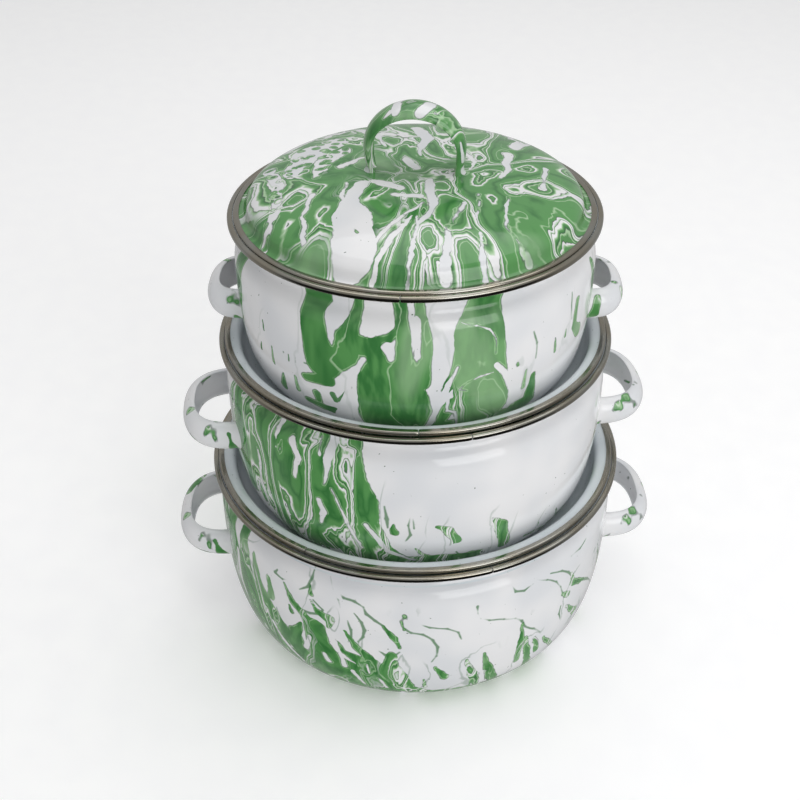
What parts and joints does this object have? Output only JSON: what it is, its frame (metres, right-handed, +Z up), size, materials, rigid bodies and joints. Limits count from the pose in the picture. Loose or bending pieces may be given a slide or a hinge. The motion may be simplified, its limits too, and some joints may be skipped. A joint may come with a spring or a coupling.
{
  "type": "cook pot set",
  "caption": "Stack of enamelled steel cook pots with looped side handles, steel rims and domed lids, the lower lids turned over in their pots.",
  "frame": {"origin": "centre of the large pot's base, on the surface that it stands on", "axes": "+Z up the stack; +X towards the right-hand handles; -Y towards the front"},
  "size_m": [0.2902, 0.242, 0.3218],
  "materials": {
    "pot_enamel": "glossy white vitreous enamel with poured green swirls",
    "lid_enamel": "glossy green vitreous enamel marbled with white",
    "handle_enamel": "glossy white vitreous enamel with green flecks",
    "rim_steel": "rolled stainless strip, satin"
  },
  "bodies": {
    "large_pot": {"large_pot_body": "pot_enamel", "large_pot_rim_ring": "rim_steel", "large_pot_left_handle": "handle_enamel", "large_pot_right_handle": "handle_enamel"},
    "large_lid": {"large_lid_shell": "lid_enamel", "large_lid_rim_ring": "rim_steel", "large_lid_handle": "handle_enamel"},
    "medium_pot": {"medium_pot_body": "pot_enamel", "medium_pot_rim_ring": "rim_steel", "medium_pot_left_handle": "handle_enamel", "medium_pot_right_handle": "handle_enamel"},
    "medium_lid": {"medium_lid_shell": "lid_enamel", "medium_lid_rim_ring": "rim_steel", "medium_lid_handle": "handle_enamel"},
    "small_pot": {"small_pot_body": "pot_enamel", "small_pot_rim_ring": "rim_steel", "small_pot_left_handle": "handle_enamel", "small_pot_right_handle": "handle_enamel"},
    "small_lid": {"small_lid_shell": "lid_enamel", "small_lid_rim_ring": "rim_steel", "small_lid_handle": "handle_enamel"}
  },
  "joints": [
    {"name": "large_lid_lift", "type": "slide", "parent": "large_pot", "child": "large_lid", "axis": [0, 0, 1], "range_m": [0, 0.09]},
    {"name": "medium_pot_lift", "type": "slide", "parent": "large_lid", "child": "medium_pot", "axis": [0, 0, 1], "range_m": [0, 0.05]},
    {"name": "medium_lid_lift", "type": "slide", "parent": "medium_pot", "child": "medium_lid", "axis": [0, 0, 1], "range_m": [0, 0.08]},
    {"name": "small_pot_lift", "type": "slide", "parent": "medium_lid", "child": "small_pot", "axis": [0, 0, 1], "range_m": [0, 0.05]},
    {"name": "small_lid_lift", "type": "slide", "parent": "small_pot", "child": "small_lid", "axis": [0, 0, 1], "range_m": [0, 0.05]}
  ]
}
